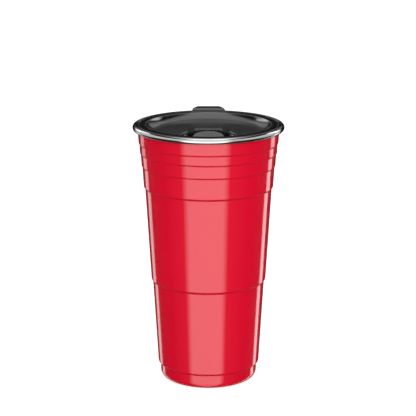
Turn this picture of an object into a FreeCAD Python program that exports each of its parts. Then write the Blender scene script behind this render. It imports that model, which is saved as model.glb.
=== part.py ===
import FreeCAD, Part
import math
import os
import Sketcher

# Insulated party tumbler: a stepped steel cup with a rolled lip, and a press-in lid with a flip-up sip cap.
# Millimetres. The origin is the centre of the ground ring, +Z is up, the sip cap is at -Y and the lift tab at +Y.

# Driving sizes, in the order of the sheet: alias, value, meaning.
SIZES = [
    ("shell_wall", 0.5, "sheet thickness of the painted shell"),
    ("foot_radius", 33.0, "outer radius of the foot band"),
    ("foot_corner", 4.6, "outer radius of the bend at the ground"),
    ("ring_width", 1.4, "width of the flat ground ring"),
    ("tier1_stand", 10.1, "height of the foot band, up to groove 1"),
    ("tier1_step", 1.74, "step outwards above groove 1"),
    ("tier1_rise", 1.66, "rise of that step"),
    ("tier2_stand", 57.34, "height of the straight wall below groove 2"),
    ("tier2_lean", 3.36, "how far that wall leans outwards"),
    ("tier2_step", 1.04, "step outwards above groove 2"),
    ("tier2_rise", 1.59, "rise of that step"),
    ("tier3_stand", 63.41, "height of the straight wall below groove 3"),
    ("tier3_lean", 3.73, "how far that wall leans outwards"),
    ("tier3_step", 0.96, "step outwards above groove 3"),
    ("tier3_rise", 1.1, "rise of that step"),
    ("tier4_stand", 13.7, "height of the straight wall below groove 4"),
    ("tier4_lean", 0.79, "how far that wall leans outwards"),
    ("tier4_step", 0.53, "step outwards above groove 4"),
    ("tier4_rise", 0.5, "rise of that step"),
    ("tier5_stand", 8.3, "height of the straight wall below groove 5"),
    ("tier5_lean", 0.62, "how far that wall leans outwards"),
    ("tier5_step", 0.44, "step outwards above groove 5"),
    ("tier5_rise", 0.45, "rise of that step"),
    ("tier6_stand", 6.25, "height of the straight wall below groove 6"),
    ("tier6_lean", 0.26, "how far that wall leans outwards"),
    ("tier6_step", 0.56, "step outwards above groove 6"),
    ("tier6_rise", 0.5, "rise of that step"),
    ("top_stand", 8.25, "height of the straight wall below the shell's upper edge"),
    ("top_lean", 0.57, "how far that wall leans outwards"),
    ("base_thickness", 0.6, "sheet thickness of the base plate"),
    ("base_recess", 1.7, "rise of the base plate's middle above its rim"),
    ("base_slope", 1.5, "width of the slope from rim to middle"),
    ("dimple_radius", 5.0, "radius of the evacuation dimple"),
    ("dimple_depth", 0.8, "rise of the dimple"),
    ("getter_radius", 6.5, "radius of the getter pellet"),
    ("getter_thickness", 2.0, "thickness of the getter pellet"),
    ("liner_wall", 0.5, "sheet thickness of the inner wall"),
    ("vacuum_gap", 2.0, "least gap between the two walls below the lid seat"),
    ("floor_gap", 4.4, "gap between the getter pellet and the inner wall's floor"),
    ("liner_corner", 8.0, "outer radius of the inner wall's bottom bend"),
    ("shoulder_length", 9.5, "height over which the inner wall widens to the lid seat"),
    ("seat_margin", 0.6, "how far the lid seat starts below the plug ring"),
    ("seam_gap", 0.05, "gap in the welded seam between the two walls"),
    ("lip_roll", 2.14, "outer radius of the rolled lip's section"),
    ("lip_overhang", 1.26, "distance of the rolled lip's centre line outside the shell's upper edge"),
    ("lip_rise", 2.0, "height of the rolled lip's centre line above the shell's upper edge"),
    ("lip_end_angle", 245.0, "where the rolled sheet ends, in degrees round the section"),
    ("flange_inset", 1.76, "distance of the flange's outer edge inside the lip's centre line"),
    ("flange_drop", 0.19, "how far the flange's outer edge lies below the lip's top"),
    ("flange_width", 4.6, "width of the lid's flange"),
    ("flange_fall", 0.25, "how far the flange falls towards the dish"),
    ("dish_width", 7.0, "width of the dish's curved wall"),
    ("dish_depth", 3.55, "depth of the lid's flat floor below the dish's upper edge"),
    ("lid_floor_thickness", 1.6, "thickness of the floor"),
    ("lip_gap", 0.25, "gap between the flange and the rolled lip"),
    ("seal_gap", 0.3, "gap between the gasket's fins and the lid seat"),
    ("plug_gap", 0.95, "gap between the plug ring and the lid seat"),
    ("plug_wall", 3.0, "thickness of the plug ring"),
    ("plug_length", 7.55, "length of the plug ring below the lip's centre line"),
    ("plug_chamfer", 0.5, "chamfer round the plug ring's lower edge"),
    ("gasket_depth", 1.4, "depth of the gasket groove"),
    ("gasket_rise", 1.35, "height of the gasket groove above the plug ring's lower end"),
    ("gasket_height", 2.7, "height of the gasket groove"),
    ("gasket_gap", 0.05, "gap round the gasket in its groove"),
    ("fin_reach", 0.5, "how far each fin stands out of the gasket's band"),
    ("tab_overlap", 0.9, "how far the lift tab reaches in over the flange"),
    ("tab_overhang", 3.0, "how far the tab stands out past the lip"),
    ("tab_inner_width", 23.6, "width of the tab at its inner edge"),
    ("tab_outer_width", 15.2, "width of the tab at its outer edge"),
    ("tab_thickness", 1.95, "thickness of the tab"),
    ("tab_gap", 0.21, "gap between the tab and the rolled lip"),
    ("tab_root_width", 24.6, "width of the raised pad that carries the tab"),
    ("tab_root_depth", 3.5, "depth of that pad, inwards from the flange's outer edge"),
    ("bay_depth", 1.3, "depth of the shallow bay round the sip cap"),
    ("bay_skin", 1.6, "thickness of the floor under the bay"),
    ("bay_overrun", 0.4, "how far the bay's round front cuts into the dish's wall"),
    ("bay_side_gap", 2.0, "gap between the hinge arms and the bay's sides"),
    ("bay_heel", 2.4, "distance of the bay's back wall behind the hinge line"),
    ("pad_radius", 10.8, "radius of the cap's round pad"),
    ("pad_front", 5.0, "distance of the cap's front edge in front of the pad's centre"),
    ("pad_front_gap", 0.7, "gap between the cap's front edge and the bay's front"),
    ("pad_rise", 2.0, "height of the pad's centre above the bay's floor"),
    ("pad_tilt", 11.0, "forward tilt of the pad, in degrees"),
    ("pad_groove", 2.2, "width of the groove round the back of the pad"),
    ("pad_groove_depth", 0.9, "depth of that groove"),
    ("bar_inset", 1.5, "how much narrower than the pad the cap's bar is, at each side"),
    ("cap_rise", 4.6, "height of the bar's top above the bay's floor"),
    ("cap_lift", 0.3, "gap between the cap and the bay's floor"),
    ("cap_heel", 1.25, "how far the bar and the arms go behind the hinge line"),
    ("heel_relief", 0.8, "extra height under the bar at the hinge"),
    ("heel_relief_length", 2.4, "length of that height in front of the hinge line"),
    ("hinge_setback", 17.6, "distance of the hinge line behind the pad's centre"),
    ("hinge_rise", 2.6, "height of the hinge line above the bay's floor"),
    ("hinge_pin_radius", 0.8, "radius of the cap's hinge pins"),
    ("hinge_pin_gap", 0.05, "running gap round the hinge pins"),
    ("hinge_pin_length", 1.2, "how far each hinge pin stands out"),
    ("arm_gap", 0.3, "gap between the cap and the arms of its hinge"),
    ("arm_width", 3.4, "width of each arm at its foot"),
    ("arm_length", 15.6, "length of the arms"),
    ("arm_side_rise", 1.8, "height of the arms' upright outer sides"),
    ("arm_top_width", 0.35, "width of the flat along each arm's top"),
    ("arm_pad_gap", 0.5, "gap between the arms and the round pad"),
    ("sip_setback", 0.8, "distance of the sip hole's centre behind the pad's centre"),
    ("sip_half_length", 7.6, "half length of the sip hole, end to end"),
    ("sip_half_width", 3.9, "half width of the sip hole"),
    ("stopper_gap", 0.3, "gap round the stopper in the sip hole"),
    ("stopper_depth", 2.5, "depth of the stopper below the cap"),
    ("stopper_draft", 12.0, "taper of the stopper's sides, in degrees"),
    ("vent_radius", 0.8, "radius of the air vent"),
    ("vent_setback", 10.0, "distance of the air vent behind the pad's centre"),
]

# Sizes and places that follow from the driving ones: alias, formula, meaning. Distances along -Y are positive.
FIRST_GROOVE = [
    ("tier1_radius", "foot_radius", "radius of groove 1"),
    ("tier1_height", "tier1_stand", "height of groove 1"),
]
FITTED = [
    ("shell_top_radius", "tier6_radius + tier6_step + top_lean", "outer radius of the shell's upper edge"),
    ("shell_top_height", "tier6_height + tier6_rise + top_stand", "height of that edge"),
    ("foot_opening_radius", "foot_radius - foot_corner - ring_width", "hole in the ground ring"),
    ("getter_height", "shell_wall + base_recess + dimple_depth + base_thickness", "underside of the getter pellet"),
    ("liner_lift", "getter_height + getter_thickness + floor_gap", "underside of the inner wall's floor"),
    ("lip_centre_radius", "shell_top_radius + lip_overhang", "radius of the lip's centre line"),
    ("lip_centre_height", "shell_top_height + lip_rise", "height of the lip's centre line"),
    ("lip_side_radius", "lip_centre_radius - lip_roll", "inner radius of the rolled lip"),
    ("plug_bottom_height", "lip_centre_height - plug_length", "lower end of the plug ring"),
    ("seat_height", "plug_bottom_height - seat_margin", "where the lid seat starts"),
    ("seat_slope", "top_lean/top_stand", "lean of the lid seat, which follows the shell"),
    ("seam_radius", "shell_top_radius - shell_wall - seam_gap", "outer radius of the inner wall at the seam"),
    ("seat_radius", "seam_radius - liner_wall - (shell_top_height - seat_height)*seat_slope", "radius of the seat"),
    ("shoulder_height", "seat_height - shoulder_length", "where the inner wall starts to widen"),
    ("plug_radius", "seat_radius - plug_gap", "outer radius of the plug ring"),
    ("gasket_low_height", "plug_bottom_height + gasket_rise", "lower side of the gasket groove"),
    ("groove_radius", "plug_radius - gasket_depth", "radius of the gasket groove's floor"),
    ("flange_radius", "lip_centre_radius - flange_inset", "outer radius of the flange"),
    ("flange_height", "lip_centre_height + lip_roll - flange_drop", "top of the flange at its outer edge"),
    ("dish_radius", "flange_radius - flange_width", "radius of the dish's upper edge"),
    ("dish_height", "flange_height - flange_fall", "height of the dish's upper edge"),
    ("lid_floor_radius", "dish_radius - dish_width", "radius of the lid's flat floor"),
    ("lid_floor_height", "dish_height - dish_depth", "top of that floor"),
    ("tab_bottom", "lip_centre_height + lip_roll + tab_gap", "underside of the lift tab"),
    ("tab_inner", "flange_radius - tab_overlap", "inner edge of the tab, along +Y"),
    ("tab_outer", "lip_centre_radius + lip_roll + tab_overhang", "outer edge of the tab, along +Y"),
    ("tab_root_inner", "flange_radius - tab_root_depth", "inner edge of the tab's raised pad, along +Y"),
    ("bay_floor", "lid_floor_height - bay_depth", "height of the bay's floor"),
    ("bay_front_radius", "lid_floor_radius + bay_overrun", "radius of the bay's front"),
    ("pad_front_radius", "bay_front_radius - pad_front_gap", "radius of the cap's front edge"),
    ("pad_distance", "pad_front_radius - pad_front", "place of the pad's centre"),
    ("pad_height", "bay_floor + pad_rise", "height of the pad's centre"),
    ("hinge_distance", "pad_distance - hinge_setback", "place of the hinge line"),
    ("hinge_height", "bay_floor + hinge_rise", "height of the hinge line"),
    ("bay_back", "hinge_distance - bay_heel", "place of the bay's back wall"),
    ("cap_back", "hinge_distance - cap_heel", "place of the back faces of the bar and the arms"),
    ("cap_bottom", "bay_floor + cap_lift", "underside of the cap"),
    ("cap_top", "bay_floor + cap_rise", "top of the cap's bar and of the arms"),
    ("cap_half_width", "pad_radius - bar_inset", "half width of the cap's bar"),
    ("arm_inner", "cap_half_width + arm_gap", "place of the arms' inner faces, from the middle plane"),
    ("bay_half_width", "arm_inner + arm_width + bay_side_gap", "half width of the bay"),
    ("sip_distance", "pad_distance - sip_setback", "place of the sip hole's centre"),
    ("vent_distance", "pad_distance - vent_setback", "place of the air vent"),
]

TIER_COUNT = 6
# Height of the plug ring's inner corner below the dish, as a share of the dish's depth.
UNDER_SHARE = 0.7
LEFT = 1
RIGHT = -1
TILT_AXIS = FreeCAD.Vector(1, 0, 0)

doc = FreeCAD.newDocument("party_tumbler")
sheet = doc.addObject("Spreadsheet::Sheet", "Sizes")


def tier_rows():
    """Where each groove lies: the wall below it stands on the shoulder of the tier below and leans outwards."""
    rows = list(FIRST_GROOVE)
    for number in range(2, TIER_COUNT + 1):
        below = number - 1
        radius = f"tier{below}_radius + tier{below}_step + tier{number}_lean"
        height = f"tier{below}_height + tier{below}_rise + tier{number}_stand"
        rows.append((f"tier{number}_radius", radius, f"radius of groove {number}"))
        rows.append((f"tier{number}_height", height, f"height of groove {number}"))
    return rows


def fill_sheet():
    """Writes every driving size and every formula into the sheet, one row each, with its alias."""
    formulas = [(alias, "=" + formula, meaning) for alias, formula, meaning in tier_rows() + FITTED]
    for row, (alias, content, meaning) in enumerate(SIZES + formulas, start=1):
        sheet.set(f"A{row}", meaning)
        sheet.set(f"B{row}", str(content))
        sheet.setAlias(f"B{row}", alias)
    doc.recompute()


def size(text):
    """Turns a formula in sheet aliases into a FreeCAD expression: each bare word gets the sheet's name."""
    words = ("sqrt", "cos", "sin", "tan", "deg")
    out = ""
    word = ""
    for letter in text + " ":
        if letter.isalnum() or letter == "_" or (letter == "." and word):
            word += letter
            continue
        plain = not word or word[0].isdigit() or word in words
        out += (word if plain else "Sizes." + word) + letter
        word = ""
    return out.strip()


def value(text):
    """The number that a formula in sheet aliases gives now."""
    return float(sheet.evalExpression(size(text)))


def plane(body, role):
    """One of a body's own origin planes."""
    return next(item for item in body.Origin.OriginFeatures if item.Role == role)


def new_body(label):
    """An empty body that will become one sub-part."""
    body = doc.addObject("PartDesign::Body", label)
    body.Label = label
    return body


def new_sketch(body, name, role, offset="0", tilt=None, shift=None):
    """A sketch on an origin plane, moved along its normal by a formula, and tilted about the first axis."""
    sketch = body.newObject("Sketcher::SketchObject", name)
    sketch.AttachmentSupport = [(plane(body, role), "")]
    sketch.MapMode = "FlatFace"
    if tilt:
        sketch.AttachmentOffset = FreeCAD.Placement(FreeCAD.Vector(), FreeCAD.Rotation(TILT_AXIS, value(tilt)))
        sketch.setExpression("AttachmentOffset.Rotation.Angle", size(tilt))
    if shift:
        sketch.setExpression("AttachmentOffset.Base.y", size(shift))
    if offset != "0":
        sketch.setExpression("AttachmentOffset.Base.z", size(offset))
    return sketch


def bind_point(sketch, curve, end, across, up):
    """Holds one end of a curve at the place that two formulas give."""
    for kind, axis, formula in (("DistanceX", -2, across), ("DistanceY", -1, up)):
        if formula == "0":
            sketch.addConstraint(Sketcher.Constraint("PointOnObject", curve, end, axis))
            continue
        index = sketch.addConstraint(Sketcher.Constraint(kind, -1, 1, curve, end, value(formula)))
        sketch.setExpression(f"Constraints[{index}]", size(formula))


def arc_centre(start, end, radius, side):
    """Centre of the arc of this radius from start to end, on the left or the right of the chord."""
    chord = end - start
    height = math.sqrt(radius**2 - (chord.Length / 2) ** 2)
    normal = FreeCAD.Vector(-chord.y, chord.x, 0).normalize()
    return (start + end) * 0.5 + normal * height * side


def draw_outline(sketch, corners):
    """Closes a loop through corners (across, up). A corner (across, up, radius, side) is reached by an arc."""
    points = [FreeCAD.Vector(value(corner[0]), value(corner[1]), 0) for corner in corners]
    curves = []
    for number, corner in enumerate(corners):
        start, end = points[number - 1], points[number]
        if len(corner) == 2:
            curves.append((sketch.addGeometry(Part.LineSegment(start, end), False), 1, 2))
            continue
        radius, side = value(corner[2]), corner[3]
        centre = arc_centre(start, end, radius, side)
        first, last = (start, end) if side == LEFT else (end, start)
        angles = [math.atan2(point.y - centre.y, point.x - centre.x) for point in (first, last)]
        circle = Part.Circle(centre, FreeCAD.Vector(0, 0, 1), radius)
        curve = sketch.addGeometry(Part.ArcOfCircle(circle, *angles), False)
        curves.append((curve, 1, 2) if side == LEFT else (curve, 2, 1))
        index = sketch.addConstraint(Sketcher.Constraint("Radius", curve, radius))
        sketch.setExpression(f"Constraints[{index}]", size(corner[2]))
    for number, (curve, _, end) in enumerate(curves):
        after, start, _ = curves[(number + 1) % len(curves)]
        sketch.addConstraint(Sketcher.Constraint("Coincident", curve, end, after, start))
        bind_point(sketch, curve, end, corners[number][0], corners[number][1])


def draw_circle(sketch, across, up, radius):
    """A whole circle at the place and of the radius that formulas give."""
    centre = FreeCAD.Vector(value(across), value(up), 0)
    curve = sketch.addGeometry(Part.Circle(centre, FreeCAD.Vector(0, 0, 1), value(radius)), False)
    index = sketch.addConstraint(Sketcher.Constraint("Radius", curve, value(radius)))
    sketch.setExpression(f"Constraints[{index}]", size(radius))
    bind_point(sketch, curve, 3, across, up)


def turn(body, name, corners):
    """A solid of revolution about Z from a closed half section of (radius, height) corners."""
    sketch = new_sketch(body, name + "_section", "XZ_Plane")
    draw_outline(sketch, corners)
    turned = body.newObject("PartDesign::Revolution", name)
    turned.Profile = sketch
    turned.ReferenceAxis = (sketch, ["V_Axis"])
    turned.Angle = 360
    sketch.Visibility = False
    doc.recompute()
    return turned


def extrude(body, kind, name, sketch, length, backwards=False, both_ways=False, taper=None):
    """A Pad or a Pocket of a sketch; a Pocket has to change the volume."""
    before = body.Shape.Volume if not body.Shape.isNull() else 0.0
    feature = body.newObject("PartDesign::" + kind, name)
    feature.Profile = sketch
    feature.setExpression("Length", size(length))
    feature.Reversed = backwards
    if both_ways:
        feature.Midplane = True
    if taper:
        feature.setExpression("TaperAngle", size(taper))
    sketch.Visibility = False
    doc.recompute()
    change = body.Shape.Volume - before
    if abs(change) < 1e-6 or (change > 0) != (kind == "Pad"):
        raise RuntimeError(f"{name} changes the volume by {change:.3f}")
    return feature


def tier_name(number, part):
    return f"tier{number}_{part}"


def shoulder_radius(number):
    return f"tier{number}_radius + tier{number}_step"


def shoulder_top(number):
    return f"tier{number}_height + tier{number}_rise"


def outer_shell():
    """Painted shell: a foot band, six straight tiers that each overhang the one below, and an open top."""
    corners = [
        ("foot_opening_radius", "0"),
        ("foot_radius - foot_corner", "0"),
        ("foot_radius", "foot_corner", "foot_corner", LEFT),
    ]
    inside = [
        ("foot_opening_radius", "shell_wall"),
        ("foot_radius - foot_corner", "shell_wall"),
        ("foot_radius - shell_wall", "foot_corner", "foot_corner - shell_wall", LEFT),
    ]
    for number in range(1, TIER_COUNT + 1):
        step, rise = tier_name(number, "step"), tier_name(number, "rise")
        groove = (tier_name(number, "radius"), tier_name(number, "height"))
        shoulder = (shoulder_radius(number), shoulder_top(number))
        corners += [groove, (*shoulder, f"({step}^2 + {rise}^2)/(2*{step})", LEFT)]
        inside += [(f"{radius} - shell_wall", f"{height} + shell_wall/2") for radius, height in (groove, shoulder)]
    corners.append(("shell_top_radius", "shell_top_height"))
    inside.append(("shell_top_radius - shell_wall", "shell_top_height"))
    bend = inside[2]
    inside[2] = bend[:2]
    inside[1] = (*inside[1], bend[2], RIGHT)
    turn(new_body("outer_shell"), "shell", corners + inside[::-1])


def inner_liner():
    """Bare steel inner wall: rounded floor, long taper, shoulder, lid seat and a lip rolled outwards and down."""
    roll = "lip_roll"
    inner_roll = "lip_roll - liner_wall"
    end = "(lip_end_angle*1 deg)"
    base_radius = "(tier1_radius - shell_wall - vacuum_gap)"
    waist_radius = "(tier4_radius - shell_wall - vacuum_gap)"
    slope = f"({waist_radius} - {base_radius})/(tier4_height - liner_lift - liner_corner)"
    low_radius = f"{waist_radius} + (shoulder_height - tier4_height)*{slope}"
    corners = [
        ("0", "liner_lift"),
        (f"{base_radius} - liner_corner", "liner_lift"),
        (base_radius, "liner_lift + liner_corner", "liner_corner", LEFT),
        (low_radius, "shoulder_height"),
        ("seat_radius + liner_wall", "seat_height"),
        ("seam_radius", "shell_top_height"),
        ("lip_side_radius + liner_wall", "lip_centre_height"),
        ("lip_centre_radius", f"lip_centre_height + {inner_roll}", inner_roll, RIGHT),
        (f"lip_centre_radius + {inner_roll}", "lip_centre_height", inner_roll, RIGHT),
        ("lip_centre_radius", f"lip_centre_height - ({inner_roll})", inner_roll, RIGHT),
        (
            f"lip_centre_radius + ({inner_roll})*cos{end}",
            f"lip_centre_height + ({inner_roll})*sin{end}",
            inner_roll,
            RIGHT,
        ),
        (f"lip_centre_radius + {roll}*cos{end}", f"lip_centre_height + {roll}*sin{end}"),
        ("lip_centre_radius", f"lip_centre_height - {roll}", roll, LEFT),
        (f"lip_centre_radius + {roll}", "lip_centre_height", roll, LEFT),
        ("lip_centre_radius", f"lip_centre_height + {roll}", roll, LEFT),
        ("lip_side_radius", "lip_centre_height", roll, LEFT),
        ("seam_radius - liner_wall", "shell_top_height"),
        ("seat_radius", "seat_height"),
        (f"{low_radius} - liner_wall", "shoulder_height"),
        (f"{base_radius} - liner_wall", "liner_lift + liner_corner"),
        (f"{base_radius} - liner_corner", "liner_lift + liner_wall", "liner_corner - liner_wall", RIGHT),
        ("0", "liner_lift + liner_wall"),
    ]
    turn(new_body("inner_liner"), "liner", corners)


def base_plate():
    """Disc welded on the ground ring: flat rim, raised middle and the dimple where the air was drawn out."""
    rim_radius = "(foot_radius - foot_corner)"
    slope_radius = "(foot_opening_radius - shell_wall)"
    middle_radius = f"({slope_radius} - base_slope)"
    middle = "(shell_wall + base_recess)"
    dimple_slope = "base_slope/2"
    corners = [
        ("0", f"{middle} + dimple_depth"),
        (f"dimple_radius - {dimple_slope}", f"{middle} + dimple_depth"),
        ("dimple_radius", middle),
        (middle_radius, middle),
        (slope_radius, "shell_wall"),
        (rim_radius, "shell_wall"),
        (rim_radius, "shell_wall + base_thickness"),
        (slope_radius, "shell_wall + base_thickness"),
        (middle_radius, f"{middle} + base_thickness"),
        ("dimple_radius", f"{middle} + base_thickness"),
        (f"dimple_radius - {dimple_slope}", f"{middle} + dimple_depth + base_thickness"),
        ("0", f"{middle} + dimple_depth + base_thickness"),
    ]
    turn(new_body("base_plate"), "plate", corners)


def getter():
    """Gas-absorbing pellet that lies on the base plate's dimple, sealed between the walls."""
    corners = [
        ("0", "getter_height"),
        ("getter_radius", "getter_height"),
        ("getter_radius", "getter_height + getter_thickness"),
        ("0", "getter_height + getter_thickness"),
    ]
    turn(new_body("getter_pellet"), "pellet", corners)


def lid_turned(body):
    """The lid's round form: flat floor, hollow dish wall, flange over the lip's inner side and grooved plug ring."""
    under = "(lid_floor_height - lid_floor_thickness)"
    ring_inside = "(plug_radius - plug_wall)"
    clear = "(lip_roll + lip_gap)"
    edge_drop = f"sqrt({clear}^2 - flange_inset^2)"
    corners = [
        ("0", under),
        ("lid_floor_radius + lid_floor_thickness", under),
        (ring_inside, f"{under} + dish_depth*{UNDER_SHARE}"),
        (ring_inside, "plug_bottom_height"),
        ("plug_radius - plug_chamfer", "plug_bottom_height"),
        ("plug_radius", "plug_bottom_height + plug_chamfer"),
        ("plug_radius", "gasket_low_height"),
        ("groove_radius", "gasket_low_height"),
        ("groove_radius", "gasket_low_height + gasket_height"),
        ("plug_radius", "gasket_low_height + gasket_height"),
        ("plug_radius", "lip_centre_height"),
        (f"lip_centre_radius - {clear}", "lip_centre_height"),
        ("flange_radius", f"lip_centre_height + {edge_drop}", clear, RIGHT),
        ("flange_radius", "flange_height"),
        ("dish_radius", "dish_height"),
        ("lid_floor_radius", "lid_floor_height", "(dish_width^2 + dish_depth^2)/(2*dish_depth)", RIGHT),
        ("0", "lid_floor_height"),
    ]
    turn(body, "dish", corners)


def lid_tab(body):
    """The lift tab: a raised pad on the flange, and a plate that narrows outwards over the rolled lip."""
    half_root = "tab_root_width/2"
    root = new_sketch(body, "tab_root_plan", "XY_Plane", "dish_height")
    reach = f"sqrt(flange_radius^2 - ({half_root})^2)"
    draw_outline(
        root,
        [
            (f"-{half_root}", "tab_root_inner"),
            (half_root, "tab_root_inner"),
            (half_root, reach),
            (f"-{half_root}", reach, "flange_radius", LEFT),
        ],
    )
    extrude(body, "Pad", "tab_root", root, "tab_bottom - dish_height")
    tab = new_sketch(body, "tab_plan", "XY_Plane", "tab_bottom")
    inner, outer = "tab_inner_width/2", "tab_outer_width/2"
    draw_outline(
        tab,
        [
            (f"-{inner}", "tab_inner"),
            (inner, "tab_inner"),
            (outer, "tab_outer"),
            (f"-{outer}", "tab_outer"),
        ],
    )
    extrude(body, "Pad", "tab", tab, "tab_thickness")


def bay_corners(grow):
    """The bay's plan, straight at the back and sides and round at the front, larger all round by a formula."""
    half, radius = f"(bay_half_width + {grow})", f"(bay_front_radius + {grow})"
    back, side_front = f"-bay_back + {grow}", f"-sqrt({radius}^2 - {half}^2)"
    return [
        (half, back),
        (f"-{half}", back),
        (f"-{half}", side_front),
        ("0", f"-{radius}", radius, LEFT),
        (half, side_front, radius, LEFT),
    ]


def lid_bay(body):
    """The shallow bay that the sip cap lies in, and the thicker floor under it."""
    skin = new_sketch(body, "bay_skin_plan", "XY_Plane", "bay_floor - bay_skin")
    draw_outline(skin, bay_corners("bay_skin"))
    extrude(body, "Pad", "bay_skin", skin, "bay_skin + bay_depth/2")
    bay = new_sketch(body, "bay_plan", "XY_Plane", "lid_floor_height")
    draw_outline(bay, bay_corners("0"))
    extrude(body, "Pocket", "bay", bay, "bay_depth")


def lid_arms(body):
    """Two arms with sloping outer sides that hold the cap's hinge pins and reach round its pad."""
    arms = new_sketch(body, "arm_section", "XZ_Plane", "cap_back")
    for sign in ("", "-"):
        corners = [
            (f"{sign}arm_inner", "bay_floor"),
            (f"{sign}(arm_inner + arm_width)", "bay_floor"),
            (f"{sign}(arm_inner + arm_width)", "bay_floor + arm_side_rise"),
            (f"{sign}(arm_inner + arm_top_width)", "cap_top"),
            (f"{sign}arm_inner", "cap_top"),
        ]
        draw_outline(arms, corners)
    extrude(body, "Pad", "arms", arms, "arm_length")
    room = new_sketch(body, "pad_room_plan", "XY_Plane", "bay_floor")
    radius = "(pad_radius + arm_pad_gap)"
    front = "(cap_back + arm_length + arm_pad_gap)"
    half_front = f"sqrt({radius}^2 - (pad_distance - {front})^2)"
    draw_outline(
        room,
        [
            (half_front, f"-{front}"),
            ("0", f"-pad_distance + {radius}", radius, LEFT),
            (f"-{half_front}", f"-{front}", radius, LEFT),
        ],
    )
    extrude(body, "Pocket", "pad_room", room, "2*cap_rise", backwards=True)
    holes = new_sketch(body, "hinge_hole_section", "YZ_Plane")
    draw_circle(holes, "-hinge_distance", "hinge_height", "hinge_pin_radius + hinge_pin_gap")
    extrude(
        body, "Pocket", "hinge_holes", holes, "2*(arm_inner + hinge_pin_length + hinge_pin_gap)", both_ways=True
    )


def slot_corners(grow):
    """A slot with round ends across X at the sip hole's place, larger all round by a formula."""
    half_length, half_width = f"(sip_half_length + {grow})", f"(sip_half_width + {grow})"
    straight = "(sip_half_length - sip_half_width)"
    low, high = f"-sip_distance - {half_width}", f"-sip_distance + {half_width}"
    return [
        (straight, low),
        (half_length, "-sip_distance", half_width, LEFT),
        (straight, high, half_width, LEFT),
        (f"-{straight}", high),
        (f"-{half_length}", "-sip_distance", half_width, LEFT),
        (f"-{straight}", low, half_width, LEFT),
    ]


def lid_holes(body):
    """The sip hole and the small air vent, both through the bay's floor under the cap."""
    sip = new_sketch(body, "sip_plan", "XY_Plane", "bay_floor")
    draw_outline(sip, slot_corners("0"))
    extrude(body, "Pocket", "sip_hole", sip, "2*bay_skin")
    vent = new_sketch(body, "vent_plan", "XY_Plane", "bay_floor")
    draw_circle(vent, "0", "-vent_distance", "vent_radius")
    extrude(body, "Pocket", "vent_hole", vent, "2*bay_skin")


def lid():
    body = new_body("lid")
    lid_turned(body)
    lid_tab(body)
    lid_bay(body)
    lid_arms(body)
    lid_holes(body)


def lid_gasket():
    """Rubber ring in the plug's groove, with two fins that reach for the lid seat."""
    inside = "(groove_radius + gasket_gap)"
    fin_radius = "(seat_radius - seal_gap)"
    band_radius = f"({fin_radius} - fin_reach)"
    low, high = "(gasket_low_height + gasket_gap)", "(gasket_low_height + gasket_height - gasket_gap)"
    fin = "fin_reach"
    corners = [
        (inside, low),
        (band_radius, low),
        (fin_radius, f"{low} + {fin}"),
        (band_radius, f"{low} + 2*{fin}"),
        (band_radius, f"{high} - 2*{fin}"),
        (fin_radius, f"{high} - {fin}"),
        (band_radius, high),
        (inside, high),
    ]
    turn(new_body("lid_gasket"), "gasket", corners)


def flip_cap():
    """One moulding: a bar between the hinge arms with a pin at each end, and a tilted round pad in front of it."""
    body = new_body("flip_cap")
    plan = new_sketch(body, "cap_plan", "XY_Plane", "cap_bottom")
    back = "-cap_back"
    meet = "-pad_distance + sqrt(pad_radius^2 - cap_half_width^2)"
    tip_height = "-((pad_front_radius^2 - pad_radius^2 + pad_distance^2)/(2*pad_distance))"
    tip_width = f"sqrt(pad_front_radius^2 - {tip_height}^2)"
    draw_outline(
        plan,
        [
            ("cap_half_width", back),
            ("-cap_half_width", back),
            ("-cap_half_width", meet),
            ("-pad_radius", "-pad_distance", "pad_radius", LEFT),
            (f"-{tip_width}", tip_height, "pad_radius", LEFT),
            (tip_width, tip_height, "pad_front_radius", LEFT),
            ("pad_radius", "-pad_distance", "pad_radius", LEFT),
            ("cap_half_width", meet, "pad_radius", LEFT),
        ],
    )
    extrude(body, "Pad", "cap_block", plan, "cap_top - cap_bottom")
    slope = new_sketch(body, "pad_slope_plan", "XY_Plane", "pad_height", "pad_tilt", "-pad_distance")
    draw_circle(slope, "0", "0", "pad_radius + pad_groove")
    extrude(body, "Pocket", "pad_slope", slope, "2*cap_rise", backwards=True)
    groove = new_sketch(body, "pad_groove_plan", "XY_Plane", "pad_height", "pad_tilt", "-pad_distance")
    draw_circle(groove, "0", "0", "pad_radius + pad_groove")
    draw_circle(groove, "0", "0", "pad_radius")
    extrude(body, "Pocket", "pad_groove", groove, "pad_groove_depth")
    relief = new_sketch(body, "heel_relief_section", "YZ_Plane")
    relief_front = "-(hinge_distance + heel_relief_length)"
    draw_outline(
        relief,
        [
            (relief_front, "cap_bottom"),
            (back, "cap_bottom"),
            (back, "cap_bottom + heel_relief"),
            (relief_front, "cap_bottom + heel_relief"),
        ],
    )
    extrude(body, "Pocket", "heel_relief", relief, "2*arm_inner", both_ways=True)
    pins = new_sketch(body, "hinge_pin_section", "YZ_Plane")
    draw_circle(pins, "-hinge_distance", "hinge_height", "hinge_pin_radius")
    extrude(
        body, "Pad", "hinge_pins", pins, "2*(arm_inner + hinge_pin_length)", both_ways=True
    )


def cap_stopper():
    """Soft stopper under the cap that fills the sip hole, narrower at its lower end."""
    body = new_body("cap_stopper")
    plan = new_sketch(body, "stopper_plan", "XY_Plane", "cap_bottom")
    draw_outline(plan, slot_corners("-stopper_gap"))
    extrude(body, "Pad", "stopper", plan, "stopper_depth", backwards=True, taper="-stopper_draft")


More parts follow.
